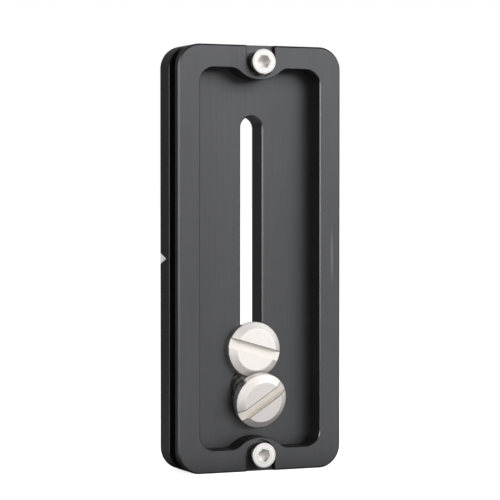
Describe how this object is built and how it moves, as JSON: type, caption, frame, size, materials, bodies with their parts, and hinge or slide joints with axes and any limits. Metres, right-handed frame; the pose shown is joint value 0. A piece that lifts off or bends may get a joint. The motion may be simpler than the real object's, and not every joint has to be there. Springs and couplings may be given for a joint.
{
  "type": "tripod quick release plate",
  "caption": "Long dovetail quick release plate that screws under a camera and slides into a tripod clamp, with captive coin-slot screws in a keyhole slot and end stop screws.",
  "frame": {"origin": "middle of the lower end face that the plate stands on", "axes": "+X across the plate, +Z along its length, -Y out of the clamp side with the pocket, +Y out of the camera side"},
  "size_m": [0.0382, 0.0183, 0.092],
  "materials": {
    "black_anodised": "matte black anodised, machined",
    "stainless": "turned stainless steel"
  },
  "bodies": {
    "plate": {"plate_body": "black_anodised", "stop_screws": "stainless"},
    "upper_screw": {"upper_camera_screw": "stainless"},
    "lower_screw": {"lower_camera_screw": "stainless"}
  },
  "joints": [
    {"name": "upper_screw_slide", "type": "slide", "parent": "plate", "child": "upper_screw", "axis": [0, 0, 1], "range_m": [0, 0.0482]},
    {"name": "lower_screw_turn", "type": "hinge", "parent": "plate", "child": "lower_screw", "pos_m": [-0.00007, 0.00907, 0.01776], "axis": [0.0902, -0.9721, -0.2164], "continuous": true}
  ]
}
